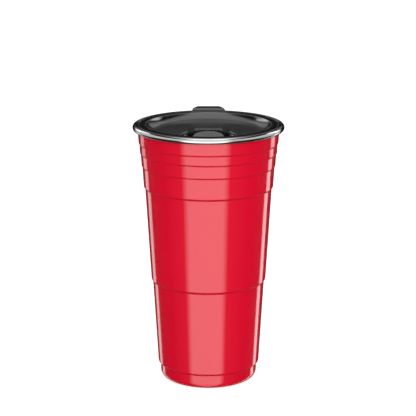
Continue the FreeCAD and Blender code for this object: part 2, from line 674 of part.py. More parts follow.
def check_document():
    """Stops if any object has failed or any sub-part's shape isn't a valid solid."""
    doc.recompute()
    for item in doc.Objects:
        if "Invalid" in item.State or "Error" in item.State:
            raise RuntimeError(f"{item.Name} is {item.State}")
    for body in doc.findObjects("PartDesign::Body"):
        if body.Shape.isNull() or not body.Shape.isValid() or not body.Shape.Solids:
            raise RuntimeError(f"{body.Label} has no valid solid")


def write_parts():
    """One STEP file for each sub-part, named after its label."""
    os.makedirs("parts", exist_ok=True)
    for body in doc.findObjects("PartDesign::Body"):
        body.Shape.exportStep(f"parts/{body.Label}.step")
        box = body.Shape.BoundBox
        print(f"{body.Label}: {len(body.Shape.Solids)} solid, {body.Shape.Volume / 1000:.2f} cm3, top {box.ZMax:.2f}")


fill_sheet()
outer_shell()
inner_liner()
base_plate()
getter()
lid()
lid_gasket()
flip_cap()
cap_stopper()
check_document()
write_parts()
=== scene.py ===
"""Looks of the insulated party tumbler: red coated cup, bare steel lip, black lid with a flip-up sip cap."""
import math

import bpy
import numpy as np
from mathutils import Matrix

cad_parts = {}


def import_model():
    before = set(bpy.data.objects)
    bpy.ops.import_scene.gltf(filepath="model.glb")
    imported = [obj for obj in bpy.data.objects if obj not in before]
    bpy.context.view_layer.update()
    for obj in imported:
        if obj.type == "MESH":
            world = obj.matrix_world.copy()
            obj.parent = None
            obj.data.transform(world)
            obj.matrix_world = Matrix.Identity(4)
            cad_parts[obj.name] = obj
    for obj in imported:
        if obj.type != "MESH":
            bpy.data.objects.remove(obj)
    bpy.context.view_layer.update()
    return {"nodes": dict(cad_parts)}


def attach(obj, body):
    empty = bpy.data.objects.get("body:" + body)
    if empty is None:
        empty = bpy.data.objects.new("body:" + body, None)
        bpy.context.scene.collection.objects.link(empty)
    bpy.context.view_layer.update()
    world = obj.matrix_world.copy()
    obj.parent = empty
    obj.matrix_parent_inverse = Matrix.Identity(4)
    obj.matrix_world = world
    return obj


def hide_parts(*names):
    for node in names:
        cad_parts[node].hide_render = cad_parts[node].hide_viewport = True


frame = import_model()

# Every size below is in millimetres, in the part's frame: +Z up, the sip cap at -Y, the lift tab at +Y.
MM = 0.001
AROUND = 384

# Tiers of the shell: height and radius of each groove, step outwards above it, rise of that step.
TIERS = [
    (10.1, 33.0, 1.74, 1.66),
    (69.1, 38.1, 1.04, 1.59),
    (134.1, 42.87, 0.96, 1.1),
    (148.9, 44.62, 0.53, 0.5),
    (157.7, 45.77, 0.44, 0.45),
    (164.4, 46.47, 0.56, 0.5),
]

# Shell: its top, its sheet, the foot's corner and the ring that it stands on, and the bend in each groove.
SHELL_TOP_RADIUS = 47.6
SHELL_TOP = 173.15
SHEET = 0.5
FOOT_RADIUS = 33.0
FOOT_CORNER = 4.6
RING_WIDTH = 1.4
GROOVE_BEND = 0.22

# Underside of the base plate from its middle outwards, as radius and height.
BASE_UNDER = [(0, 3.0), (4.25, 3.0), (5.0, 2.2), (25.0, 2.2), (26.5, 0.5), (28.4, 0.5)]
BASE_SHEET = 0.6

# Liner: floor, taper, shoulder, seat and seam as (radius, height), and the lip's roll with its last angle.
LINER_FLOOR = 10.0
LINER_BASE_RADIUS = 30.5
LINER_CORNER = 8.0
SHOULDER_LOW = (43.10, 157.5)
SEAT_LOW = (46.625, 167.0)
SEAM = (47.05, 173.15)
LIP_CENTRE = (48.86, 175.15)
LIP_ROLL = 2.14
LIP_END = 245.0

# Lid: its floor and dish, the flange over the lip, the plug ring, and the gasket in the ring's groove.
FLOOR_TOP = 173.3
FLOOR_RADIUS = 35.5
FLOOR_UNDER = 171.7
DISH_RADIUS = 42.5
DISH_TOP = 176.85
FLANGE_RADIUS = 47.1
FLANGE_TOP = 176.92
LIP_GAP = 0.25
PLUG_RADIUS = 45.175
PLUG_INSIDE = 42.175
PLUG_BOTTOM = 167.6
GROOVE_RADIUS = 43.775
GASKET_LOW = 168.95
GASKET_HIGH = 171.65
FIN_RADIUS = 45.825
FIN_REACH = 0.5
GASKET_GAP = 0.05

# Bay in the lid's floor, with the sip hole and the vent in it. Within the split radius the lid isn't turned.
BAY_FLOOR = 172.0
BAY_UNDER = 170.4
BAY_HALF_WIDTH = 15.0
BAY_BACK = -10.2
BAY_FRONT_RADIUS = 35.9
BAY_SKIN = 1.6
SPLIT_RADIUS = 36.4
SIP_Y = -29.4
SIP_HALF_LENGTH = 7.6
SIP_HALF_WIDTH = 3.9
VENT_Y = -20.2
VENT_RADIUS = 0.8

# Lift tab: its inner and outer edge as (y, half width), how far its front face leans back and narrows for
# each millimetre of height, and the pad that it stands on.
TAB_LOW = 177.5
TAB_TOP = 179.2
TAB_INNER = (46.2, 12.1)
TAB_OUTER = (54.0, 7.6)
TAB_LEAN = 0.3
TAB_NARROW = 0.072
TAB_ROOT_INNER = 43.6
TAB_ROOT_HALF = 12.3

# Sip cap: hinge line as (y, height) with its pins, the bar, the tilted round pad behind its groove, the hinge
# arms in the lid, and the stopper below.
HINGE = (-12.6, 174.6)
PIN_RADIUS = 0.8
PIN_END = 10.8
CAP_BACK = -11.35
CAP_BOTTOM = 172.3
CAP_TOP = 176.6
CAP_HALF_WIDTH = 9.3
PAD_CENTRE = (-30.2, 174.0)
PAD_RADIUS = 10.8
PAD_GROOVE = 2.2
PAD_GROOVE_DEPTH = 0.9
PAD_TILT = math.radians(11.0)
PAD_FRONT_RADIUS = 35.2
PAD_HOLLOW = 0.3
ARM_INNER = 9.6
ARM_OUTER = 13.6
ARM_SIDE_TOP = 175.2
ARM_TOP_OUTER = 12.3
ARM_FRONT = -26.95
ARM_PAD_RADIUS = 11.3
STOPPER_DEPTH = 2.5
STOPPER_GAP = 0.3

# Finishes: linear colours. A groove's matt line, whose darker colour is painted shade, reaches a length in
# millimetres each way, and upwards also a share of the step's rise; the last number is how soft its edges
# are. The lid's painted highlight lines, paler lines that stand in for glints on its edges, lie between two
# heights.
WHITE = (1, 1, 1, 1)
COAT_DEEP = (0.68, 0.0008, 0.0205, 1)
COAT_PALE = (0.72, 0.0014, 0.0245, 1)
# Darker red of the groove lines: painted shade.
COAT_GROOVE_SHADE = (0.55, 0.004, 0.022, 1)
COAT_LINE = (0.40, 0.6, 0.12)
STEEL_DEEP = (0.42, 0.42, 0.425, 1)
STEEL_PALE = (0.50, 0.50, 0.505, 1)
# Dark steel tone for the lip's painted shade.
STEEL_PAINTED_SHADE = (0.03, 0.03, 0.031, 1)
LID_BLACK = (0.006, 0.006, 0.0062, 1)
# Paler tone of the lid's edge lines: painted highlight.
LID_PAINTED_GLINT = (0.15, 0.15, 0.153, 1)
GLINT_HEIGHTS = (176.3, 177.35)
LID_SATIN = 0.14
LID_GLOSS = 0.07

# Camera fit, in metres, degrees and pixels of the 416 x 416 frame.
CAMERA_DISTANCE = 1.0766
CAMERA_PITCH = 14.1
TARGET_HEIGHT = 0.1188
FOCAL_PIXELS = 1583.6
FRAME_PIXELS = 416
AXIS_OFFSET_PIXELS = 0.5
SENSOR = 36.0

# Light: the world's level as light, the floor's own glow as seen and as light, and the lamps (name, place,
# side in metres, watts), which are aimed at a point in the cup.
AMBIENT = 0.56
FLOOR_SIDE = 6.0
FLOOR_TONE = 0.6
FLOOR_GLOW = 0.75
FLOOR_BOUNCE = 0.22
LAMP_AIM = (0, 0, 0.1)
LAMPS = [
    ("front_soft_box", (0.15, -1.5, 0.75), 1.2, 13.3),
    ("top_soft_box", (0, 0.2, 1.4), 0.9, 7),
]

# What reflections see: a drum with its radius, ceiling and pit in millimetres. A panel on its wall is its
# first and last azimuth from the camera's side in degrees, its edge's softness, its brightness low and high
# on the wall, and the two heights in metres between which it changes.
WALL = 4000
CEILING = 3400
PIT = -4500
PANELS = [
    (-42.0, 32.5, 5.5, (2.95, 0.3), (-0.9, -0.5)),
    (-58.0, 52.0, 26.0, (0.22, 0.1), (-0.9, -0.5)),
    (-146.5, -131.5, 1.5, (1.7, 0.3), (-0.9, -0.5)),
    (124.0, 138.5, 1.5, (2.7, 0.4), (-0.9, -0.5)),
    (-131.0, 124.0, 8.0, (0.0, 1.0), (-0.8, -0.5)),
    (-150.0, -131.0, 3.0, (0.0, 2.4), (0.6, 1.3)),
    (124.0, 142.0, 3.0, (0.0, 2.8), (0.6, 1.3)),
]
# Every panel fades downwards between these heights to this share of its brightness.
PANEL_FOOT = (-4.2, -3.0)
PANEL_FOOT_SHARE = 0.65
# The glow behind: each row is two heights and the brightness added at both. Then the azimuths at which it
# fades in.
BACK_GLOW = [(1.05, 1.45, 0.01, 0.56), (1.6, 3.4, 0, 0.24)]
BACK_EDGE = (148.0, 162.0)
# The ceiling's soft box: its half width and its two ends along Y in metres, how soft its edges are along X
# and along Y, and rows of two places along Y and the brightness added at both.
CEILING_BOX = (1.5, -2.7, 3.6)
CEILING_SOFT = (0.35, 0.25)
CEILING_SHINE = [(2.8, 0.3, 0.95, 1.5), (-1.1, -1.7, 0, 1.8)]
# The brightness at which the drum's colour is white.
PEAK = 8.0


# Shapes


def rounded(corners, closed=True, steps=5, hold=0.35):
    """Points of an outline (a, b, radius): a corner with a radius becomes the arc that touches both its
    sides, with one more point just before and after it so that flat stretches stay flat when shaded."""
    points = np.array([corner[:2] for corner in corners], float)
    last = len(points) - 1
    out = []
    for number, (point, radius) in enumerate(zip(points, [corner[2] for corner in corners])):
        if radius == 0 or (not closed and number in (0, last)):
            out.append(point[None])
            continue
        before, after = points[number - 1] - point, points[(number + 1) % len(points)] - point
        long_before, long_after = np.linalg.norm(before), np.linalg.norm(after)
        before, after = before / long_before, after / long_after
        angle = math.acos(np.clip(before @ after, -1, 1))
        cut = min(radius / math.tan(angle / 2), 0.4 * long_before, 0.4 * long_after)
        centre = point + (before + after) / np.linalg.norm(before + after) * cut / math.cos(angle / 2)
        sweep = math.pi - angle
        share = np.linspace(0, 1, steps + 1)[:, None]
        start, end = point + before * cut - centre, point + after * cut - centre
        bend = centre + (np.sin((1 - share) * sweep) * start + np.sin(share * sweep) * end) / math.sin(sweep)
        out += [(point + before * cut * (1 + hold))[None], bend, (point + after * cut * (1 + hold))[None]]
    return np.vstack(out)


def arc(centre, radius, start, end, count):
    """Points of a circle's arc: centre + radius * (cos, sin) of evenly spaced angles in degrees."""
    angles = np.radians(np.linspace(start, end, count))
    return np.array(centre) + radius * np.column_stack([np.cos(angles), np.sin(angles)])


def corners_of(points, radius=0.0):
    """The same points as corners of a rounded outline, each with this radius."""
    return [(a, b, radius) for a, b in points]


def solid(name, rings, poles=None):
    """A closed mesh from rings of points (ring, place round it, xyz): each ring is joined to the next by
    quads. The last ring joins the first, or each end closes in a fan round its pole. The signed volume says
    which way the faces point, and they are turned outwards."""
    count, around = rings.shape[:2]
    vertices = rings.reshape(-1, 3)
    ring = np.arange(count if poles is None else count - 1)[:, None] * around
    above = (ring + around) % (count * around)
    here, there = np.arange(around), (np.arange(around) + 1) % around
    quads = np.stack([ring + here, ring + there, above + there, above + here], -1).reshape(-1, 4)
    fans = np.empty((0, 3), int)
    if poles is not None:
        low, high = len(vertices), len(vertices) + 1
        top = (count - 1) * around
        fans = np.vstack([
            np.column_stack([np.full(around, low), there, here]),
            np.column_stack([np.full(around, high), top + here, top + there]),
        ])
        vertices = np.vstack([vertices, poles])
    triangles = np.vstack([quads[:, [0, 1, 2]], quads[:, [0, 2, 3]], fans])
    corner = vertices[triangles]
    volume = np.einsum("ij,ij->i", corner[:, 0], np.cross(corner[:, 1], corner[:, 2])).sum()
    if volume < 0:
        quads, fans = quads[:, ::-1], fans[:, ::-1]
    mesh = bpy.data.meshes.new(name)
    mesh.from_pydata((vertices * MM).tolist(), [], quads.tolist() + fans.tolist())
    mesh.polygons.foreach_set("use_smooth", np.ones(len(mesh.polygons), bool))
    mesh.update()
    piece = bpy.data.objects.new(name, mesh)
    bpy.context.scene.collection.objects.link(piece)
    return piece


def turned(name, profile, around=AROUND):
    """A turned solid: each point (radius, height) of the profile goes round Z. A profile that starts and
    ends on the axis closes in poles, and any other one is a closed loop."""
    angle = np.linspace(0, 2 * np.pi, around, endpoint=False)
    on_axis = profile[0, 0] == 0
    inner = profile[1:-1] if on_axis else profile
    radius, height = inner[:, :1], inner[:, 1:]
    rings = np.stack([radius * np.cos(angle), radius * np.sin(angle), height + 0 * angle], -1)
    poles = [(0, 0, profile[0, 1]), (0, 0, profile[-1, 1])] if on_axis else None
    return solid(name, rings, poles)


def inward(outline):
    """Unit vectors that point into a closed outline: its chord directions turned by a quarter turn."""
    chord = np.roll(outline, -1, 0) - np.roll(outline, 1, 0)
    normal = np.column_stack([-chord[:, 1], chord[:, 0]])
    normal /= np.linalg.norm(normal, axis=1)[:, None]
    area = np.sum(outline[:, 0] * np.roll(outline[:, 1], -1) - np.roll(outline[:, 0], -1) * outline[:, 1])
    return normal if area > 0 else -normal


def edge_steps(bottom, top, low_edge, high_edge, steps=5):
    """Pairs (inset, height) up the side of a slab: a quarter circle at the bottom, a straight side, and a
    quarter circle at the top."""
    turn = np.linspace(0, np.pi / 2, steps + 1)
    low = np.column_stack([low_edge * (1 - np.sin(turn)), bottom + low_edge * (1 - np.cos(turn))])
    high = np.column_stack([high_edge * (1 - np.cos(turn)), top - high_edge * (1 - np.sin(turn))])
    hold = 0.4
    return np.vstack([
        [low_edge * (1 + hold), bottom],
        low,
        [0, bottom + low_edge * (1 + hold)],
        [0, top - high_edge * (1 + hold)],
        high,
        [high_edge * (1 + hold), top],
    ])


def slab(name, outline, bottom, top, low_edge, high_edge):
    """A plate with a rounded edge: the plan outline, moved inwards by each step's inset, at its height."""
    steps = edge_steps(bottom, top, low_edge, high_edge)
    plan = outline[None] + inward(outline)[None] * steps[:, 0][:, None, None]
    rings = np.concatenate([plan, np.broadcast_to(steps[:, 1][:, None, None], plan.shape[:2] + (1,))], -1)
    middle = outline.mean(0)
    return solid(name, rings, [(*middle, bottom), (*middle, top)])


def shell_profile():
    """Section of the painted shell: ground ring, foot bend, and for each tier a groove, an arc that ends
    upright, and a straight wall to the next groove. The inner side follows at the sheet's thickness."""
    opening = FOOT_RADIUS - FOOT_CORNER - RING_WIDTH
    bend = (FOOT_RADIUS - FOOT_CORNER, FOOT_CORNER)
    outside = [(opening, SHEET, 0.1), (opening, 0, 0.15)] + corners_of(arc(bend, FOOT_CORNER, -90, 0, 14))
    inside = [(opening, SHEET, 0.1), (bend[0], SHEET, 0.5), (FOOT_RADIUS - SHEET, FOOT_CORNER, 2.0)]
    for height, radius, step, rise in TIERS:
        bow = (step**2 + rise**2) / (2 * step)
        centre = (radius + step - bow, height + rise)
        start = -math.degrees(math.asin(min(1.0, rise / bow)))
        if step > bow:
            start = -180 - start
        outside.append((radius, height, GROOVE_BEND))
        outside += corners_of(arc(centre, bow, start, 0, 10)[2:])
        outside.append((radius + step, height + rise + 0.4, 0))
        inside += [(radius - SHEET, height + SHEET / 2, 0.5), (radius + step - SHEET, height + rise, 0.5)]
    outside.append((SHELL_TOP_RADIUS, SHELL_TOP, 0.12))
    inside.append((SHELL_TOP_RADIUS - SHEET, SHELL_TOP, 0.12))
    return rounded(outside + inside[:0:-1])


def outer_shell():
    return turned("outer_shell_coated", shell_profile())


def inner_liner():
    """Section of the inner wall: floor, bend, taper, shoulder, seat and a lip rolled out and down to the
    angle LIP_END, and back along the inside at the sheet's thickness."""
    bend = (LINER_BASE_RADIUS - LINER_CORNER, LINER_FLOOR + LINER_CORNER)
    lip = np.array(LIP_CENTRE)
    inner_roll = LIP_ROLL - SHEET
    outer = [(0, LINER_FLOOR, 0)] + corners_of(arc(bend, LINER_CORNER, -90, 0, 14))
    outer += [(*SHOULDER_LOW, 3.0), (*SEAT_LOW, 1.5), (*SEAM, 1.0)]
    outer += corners_of(arc(lip, inner_roll, 180, LIP_END - 360, 30))
    turn = math.radians(LIP_END)
    end = lip + (LIP_ROLL - SHEET / 2) * np.array([math.cos(turn), math.sin(turn)])
    outer += corners_of(arc(end, SHEET / 2, LIP_END + 180, LIP_END, 5)[1:-1])
    inner = corners_of(arc(lip, LIP_ROLL, LIP_END - 360, 180, 44))
    inner += [(SEAM[0] - SHEET, SEAM[1], 1.0), (SEAT_LOW[0] - SHEET, SEAT_LOW[1], 1.5)]
    inner += [(SHOULDER_LOW[0] - SHEET, SHOULDER_LOW[1], 3.0)]
    inner += corners_of(arc(bend, LINER_CORNER - SHEET, 0, -90, 14)) + [(0, LINER_FLOOR + SHEET, 0)]
    return turned("inner_liner_lip", rounded(outer + inner, closed=False, steps=7))


def base_plate():
    """Section of the base plate: flat rim, slope to the raised middle, and the dimple."""
    low = [(radius, height, 0.4) for radius, height in BASE_UNDER]
    high = [(radius, height + BASE_SHEET, 0.4) for radius, height in BASE_UNDER[::-1]]
    return turned("base_plate_pressed", rounded(low + high, closed=False), 192)


def gasket():
    """Section of the gasket: a band with a pointed fin at its lower and its upper end."""
    inside, band = GROOVE_RADIUS + GASKET_GAP, FIN_RADIUS - FIN_REACH
    low, high = GASKET_LOW + GASKET_GAP, GASKET_HIGH - GASKET_GAP
    corners = [(inside, low, 0.15), (band, low, 0.08), (FIN_RADIUS, low + FIN_REACH, 0.1)]
    corners += [(band, low + 2 * FIN_REACH, 0.15), (band, high - 2 * FIN_REACH, 0.15)]
    corners += [(FIN_RADIUS, high - FIN_REACH, 0.1), (band, high, 0.08), (inside, high, 0.15)]
    return turned("lid_gasket_ring", rounded(corners), 256)


def dish_height(radius):
    """Height of the lid's top near the floor: flat, then the dish's circle that leaves the floor level."""
    width, depth = DISH_RADIUS - FLOOR_RADIUS, DISH_TOP - FLOOR_TOP
    bow = (width**2 + depth**2) / (2 * depth)
    out = np.maximum(radius - FLOOR_RADIUS, 0)
    return FLOOR_TOP + bow - np.sqrt(bow**2 - out**2)


def bay_outline(radius=1.2):
    """Plan of the bay: straight back and sides, and a front that is an arc round the cup's axis."""
    side = math.degrees(math.asin(BAY_HALF_WIDTH / BAY_FRONT_RADIUS))
    front = arc((0, 0), BAY_FRONT_RADIUS, -90 - side, -90 + side, 40)
    corners = [(*front[0], radius)] + corners_of(front[3:-3]) + [(*front[-1], radius)]
    return rounded([(BAY_HALF_WIDTH, BAY_BACK, radius), (-BAY_HALF_WIDTH, BAY_BACK, radius)] + corners)


def slot_outline(grow=0.0):
    """Plan of the sip hole: a slot along X with half-round ends, larger all round by grow."""
    straight, half = SIP_HALF_LENGTH - SIP_HALF_WIDTH, SIP_HALF_WIDTH + grow
    right = arc((straight, SIP_Y), half, -90, 90, 24)
    left = arc((-straight, SIP_Y), half, 90, 270, 24)
    return np.vstack([right, left])


def reach(outline, centre, direction):
    """How far an outline lies from a centre inside it, along each direction: its polar radius between the
    outline's points."""
    spoke = outline - centre
    angle = np.arctan2(spoke[:, 1], spoke[:, 0])
    order = np.argsort(angle)
    wanted = np.arctan2(direction[:, 1], direction[:, 0])
    return np.interp(wanted, angle[order], np.linalg.norm(spoke, axis=1)[order], period=2 * np.pi)


def lid_section():
    """Section of the lid outside the split radius: dish, flange, nose over the lip, plug ring, groove."""
    dish = np.linspace(SPLIT_RADIUS, DISH_RADIUS, 14)[:-1]
    clear = LIP_ROLL + LIP_GAP
    lip_r, lip_z = LIP_CENTRE
    edge_angle = math.degrees(math.acos((FLANGE_RADIUS - lip_r) / clear))
    corners = corners_of(np.column_stack([dish, dish_height(dish)]))
    corners += [(DISH_RADIUS, DISH_TOP, 0.35), (FLANGE_RADIUS, FLANGE_TOP, 0.13)]
    corners += corners_of(arc(LIP_CENTRE, clear, edge_angle, 180, 10))
    corners += [(PLUG_RADIUS, lip_z, 0.4), (PLUG_RADIUS, GASKET_HIGH, 0.1)]
    corners += [(GROOVE_RADIUS, GASKET_HIGH, 0.1)]
    corners += [(GROOVE_RADIUS, GASKET_LOW, 0.1), (PLUG_RADIUS, GASKET_LOW, 0.1)]
    corners += [(PLUG_RADIUS, PLUG_BOTTOM, 0.6), (PLUG_INSIDE, PLUG_BOTTOM, 0.6)]
    corners += [(PLUG_INSIDE, FLOOR_UNDER + 2.485, 0.8), (FLOOR_RADIUS + 1.6, FLOOR_UNDER, 0.8)]
    corners += [(SPLIT_RADIUS, FLOOR_UNDER, 0)]
    return rounded(corners, closed=False, steps=4)


def lid_body():
    """The lid as one closed surface. Its rings run from the sip hole's upper edge over the bay's floor and
    wall, out to the split circle, once round the turned section, and back under the floor to the hole's
    lower edge. Inside the split circle a ring's points lie on straight spokes from the sip hole's centre."""
    azimuth = np.linspace(0, 2 * np.pi, 512, endpoint=False)
    circle = np.column_stack([np.cos(azimuth), np.sin(azimuth)])
    centre = np.array([0, SIP_Y])
    spoke = circle * SPLIT_RADIUS - centre
    split = np.linalg.norm(spoke, axis=1)
    spoke /= split[:, None]
    slot, bay = reach(slot_outline(), centre, spoke), reach(bay_outline(), centre, spoke)
    skin = np.minimum(bay + BAY_SKIN, split - 0.2)
    turn = np.linspace(0, np.pi / 2, 6)
    edge, bend = 0.3, 0.35
    depth = FLOOR_TOP - BAY_FLOOR

    def ring(distance, height):
        plan = centre + spoke * distance[:, None]
        return np.column_stack([plan, np.broadcast_to(height, distance.shape)])

    def top_ring(distance, drop):
        plan = centre + spoke * distance[:, None]
        return np.column_stack([plan, dish_height(np.linalg.norm(plan, axis=1)) - drop])

    rings = [ring(slot + edge * (1 - math.cos(t)), BAY_FLOOR - edge * (1 - math.sin(t))) for t in turn]
    start, end = slot + edge, bay - bend
    rings += [ring(start + (end - start) * share, BAY_FLOOR) for share in (0.04, 0.2, 0.4, 0.6, 0.8, 0.96)]
    rings += [ring(end + bend * math.sin(t), BAY_FLOOR + bend * (1 - math.cos(t))) for t in turn]
    rings += [ring(bay, BAY_FLOOR + 0.6 * depth)]
    rings += [top_ring(bay + edge * (1 - math.cos(t)), edge * (1 - math.sin(t))) for t in turn]
    start = bay + edge
    rings += [top_ring(start + (split - start) * share, 0) for share in (0.1, 0.3, 0.5, 0.7, 0.9)]
    section = lid_section()
    rings += [np.column_stack([circle * radius, np.full(len(circle), height)]) for radius, height in section]
    rings += [ring(skin, FLOOR_UNDER), ring(skin, BAY_UNDER + 0.1), ring(skin - 0.3, BAY_UNDER)]
    rings += [ring(slot + edge, BAY_UNDER), ring(slot, BAY_UNDER + edge)]
    return solid("lid_moulding", np.array(rings))


def tab_root():
    """Plan of the tab's raised pad: straight on three sides, and the flange's own arc on the outer one."""
    side = math.degrees(math.asin(TAB_ROOT_HALF / FLANGE_RADIUS))
    outer = arc((0, 0), FLANGE_RADIUS - 0.05, 90 - side, 90 + side, 24)
    corners = [(-TAB_ROOT_HALF, TAB_ROOT_INNER, 0.5), (TAB_ROOT_HALF, TAB_ROOT_INNER, 0.5)]
    outline = rounded(corners + [(*outer[0], 0.4)] + corners_of(outer[2:-2]) + [(*outer[-1], 0.4)])
    return slab("lid_tab_root", outline, DISH_TOP - 0.5, TAB_LOW + 0.1, 0.1, 0.22)


def tab_plate():
    """Plan of the lift tab: a trapezoid that narrows outwards. Its front face leans back and narrows by
    shares of its height."""
    inner, outer = TAB_INNER, TAB_OUTER
    corners = [(-inner[1], inner[0], 0.4), (inner[1], inner[0], 0.4)]
    corners += [(outer[1], outer[0], 0.7), (-outer[1], outer[0], 0.7)]
    outline = rounded(corners, steps=8)
    steps = edge_steps(TAB_LOW, TAB_TOP, 0.2, 0.2)
    near = np.clip((inner[0] + 1.5 - outline[:, 1]) / 1.0, 0, 1)
    rings = []
    for inset, height in steps:
        plan = outline + inward(outline) * inset
        plan[:, 1] += near * TAB_LEAN * (height - TAB_LOW)
        plan[:, 0] *= 1 - near * TAB_NARROW * (height - TAB_LOW)
        rings.append(np.column_stack([plan, np.full(len(plan), height)]))
    middle = (0, (inner[0] + outer[0]) / 2)
    return solid("lid_tab_plate", np.array(rings), [(*middle, TAB_LOW), (*middle, TAB_TOP)])


def along(places, section):
    """Rings of a beam: section(place, inset) gives the closed loop of points at each place along it. The
    loops at both ends shrink by a quarter circle's inset, so the ends are rounded."""
    start, end, edge = places
    turn = np.linspace(0, np.pi / 2, 6)
    first = [(start + edge * (1 - math.cos(t)), edge * (1 - math.sin(t))) for t in turn]
    middle = [(place, 0.0) for place in np.linspace(start + edge * 1.5, end - edge * 1.5, 40)]
    last = [(end - edge * (1 - math.cos(t)), edge * (1 - math.sin(t))) for t in turn[::-1]]
    return np.array([section(place, inset) for place, inset in first + middle + last])


def beam(name, places, section):
    """A closed solid along X or Y from its rings, with each end closed round the middle of its loop."""
    rings = along(places, section)
    return solid(name, rings, [rings[0].mean(0), rings[-1].mean(0)])


def hinge_arm(name, side):
    """One hinge arm along Y. Its section has an upright inner face, an upright outer side and a chamfer;
    near the front the inner face follows a circle round the pad."""
    slope = (ARM_OUTER - ARM_TOP_OUTER) / (CAP_TOP - ARM_SIDE_TOP)

    def section(y, inset):
        to_pad = y - PAD_CENTRE[0]
        inner = max(ARM_INNER, math.sqrt(max(ARM_PAD_RADIUS**2 - to_pad**2, 0)))
        top_outer = max(ARM_TOP_OUTER, inner + 0.3)
        top = CAP_TOP - (top_outer - ARM_TOP_OUTER) / slope
        corners = [
            (inner + inset, BAY_FLOOR - 0.5, 0.1),
            (ARM_OUTER - inset, BAY_FLOOR - 0.5, 0.1),
            (ARM_OUTER - inset, ARM_SIDE_TOP, 0.4),
            (top_outer - inset * 0.5, top - inset, 0.15),
            (inner + inset * 0.5, top - inset, 0.15),
        ]
        loop = rounded(corners)
        return np.column_stack([side * loop[:, 0], np.full(len(loop), y), loop[:, 1]])

    return beam(name, (ARM_FRONT, CAP_BACK, 0.3), section)


def pad_plane(y, below=0.0):
    """Height of the pad's tilted plane at y, or of the plane that lies below it along its normal."""
    return PAD_CENTRE[1] + (y - PAD_CENTRE[0]) * math.tan(PAD_TILT) - below / math.cos(PAD_TILT)


def cap_bar():
    """The bar along X: its section is a rounded rectangle from the back face to the groove's round wall."""
    wall = PAD_RADIUS + PAD_GROOVE

    def section(x, inset):
        front = PAD_CENTRE[0] + math.sqrt(wall**2 - x**2)
        corners = [
            (CAP_BACK - inset, CAP_BOTTOM + inset, 0.3),
            (CAP_BACK - inset, CAP_TOP - inset, 0.4),
            (front + inset, CAP_TOP - inset, 0.25),
            (front + inset, CAP_BOTTOM + inset, 0.2),
        ]
        loop = rounded(corners)
        return np.column_stack([np.full(len(loop), x), loop])

    return beam("cap_bar", (-CAP_HALF_WIDTH, CAP_HALF_WIDTH, 0.35), section)


def cap_web():
    """The floor of the groove between bar and pad: a low beam along X that reaches under both."""

    def section(x, inset):
        back = PAD_CENTRE[0] + math.sqrt((PAD_RADIUS + PAD_GROOVE) ** 2 - x**2) + 1.0
        front = PAD_CENTRE[0] + math.sqrt(PAD_RADIUS**2 - x**2) - 1.0
        corners = [
            (back, CAP_BOTTOM + inset, 0.1),
            (back, pad_plane(back, PAD_GROOVE_DEPTH) - inset, 0.1),
            (front, pad_plane(front, PAD_GROOVE_DEPTH) - inset, 0.1),
            (front, CAP_BOTTOM + inset, 0.1),
        ]
        loop = rounded(corners)
        return np.column_stack([np.full(len(loop), x), loop])

    return beam("cap_web", (-CAP_HALF_WIDTH, CAP_HALF_WIDTH, 0.35), section)


def cap_pad():
    """The round pad: its plan is a circle cut in front by an arc round the cup's axis. The rings climb from
    the flat underside to the tilted plane, round its edge, and close in on the middle over a hollow whose
    depth falls as a cosine from the middle to the rim."""
    centre = np.array([0, PAD_CENTRE[0]])
    meet_y = -(PAD_FRONT_RADIUS**2 - PAD_RADIUS**2 + PAD_CENTRE[0] ** 2) / (2 * -PAD_CENTRE[0])
    meet_x = math.sqrt(PAD_FRONT_RADIUS**2 - meet_y**2)
    back_angle = math.degrees(math.atan2(meet_y - PAD_CENTRE[0], meet_x))
    front_angle = math.degrees(math.atan2(meet_y, meet_x))
    back = arc(centre, PAD_RADIUS, back_angle, 180 - back_angle, 120)
    front = arc((0, 0), PAD_FRONT_RADIUS, -180 - front_angle, front_angle, 40)
    corners = corners_of(back[2:-2]) + [(*back[-1], 0.8)] + corners_of(front[2:-2]) + [(*front[-1], 0.8)]
    outline = rounded(corners)
    edge, low_edge = 0.45, 0.25
    steps = edge_steps(0, 1, low_edge, edge)
    normal = inward(outline)
    rings = []
    for inset, level in steps:
        plan = outline + normal * inset
        height = CAP_BOTTOM + level if level < 0.5 else pad_plane(plan[:, 1]) - (1 - level)
        rings.append(np.column_stack([plan, np.broadcast_to(height, len(plan))]))
    rim = rings[-1]
    for share in (0.93, 0.85, 0.75, 0.62, 0.48, 0.32, 0.16, 0.06):
        plan = centre + (rim[:, :2] - centre) * share
        hollow = PAD_HOLLOW * (0.5 + 0.5 * math.cos(math.pi * share))
        rings.append(np.column_stack([plan, pad_plane(plan[:, 1]) - hollow]))
    poles = [(*centre, CAP_BOTTOM), (*centre, PAD_CENTRE[1] - PAD_HOLLOW)]
    return solid("cap_pad", np.array(rings), poles)


def cap_pins():
    """The hinge pins as one rod along X through the bar: circles round the hinge line, with round ends."""
    angle = np.linspace(0, 2 * np.pi, 48, endpoint=False)

    def section(x, inset):
        radius = PIN_RADIUS - inset
        circle = [np.full(48, x), HINGE[0] + radius * np.cos(angle), HINGE[1] + radius * np.sin(angle)]
        return np.column_stack(circle)

    return beam("cap_hinge_pins", (-PIN_END, PIN_END, 0.2), section)


def stopper():
    """The stopper: the sip hole's slot, smaller by its gap and tapering down to a rounded lower edge."""
    outline = slot_outline(-STOPPER_GAP)
    normal = inward(outline)
    taper = math.tan(math.radians(12.0))
    bottom = CAP_BOTTOM - STOPPER_DEPTH
    steps = edge_steps(bottom, CAP_BOTTOM + 0.1, 0.7, 0.05)
    rings = []
    for inset, height in steps:
        plan = outline + normal * (inset + (CAP_BOTTOM - height) * taper)
        rings.append(np.column_stack([plan, np.full(len(plan), height)]))
    return solid("cap_stopper_soft", np.array(rings), [(0, SIP_Y, bottom), (0, SIP_Y, CAP_BOTTOM + 0.1)])


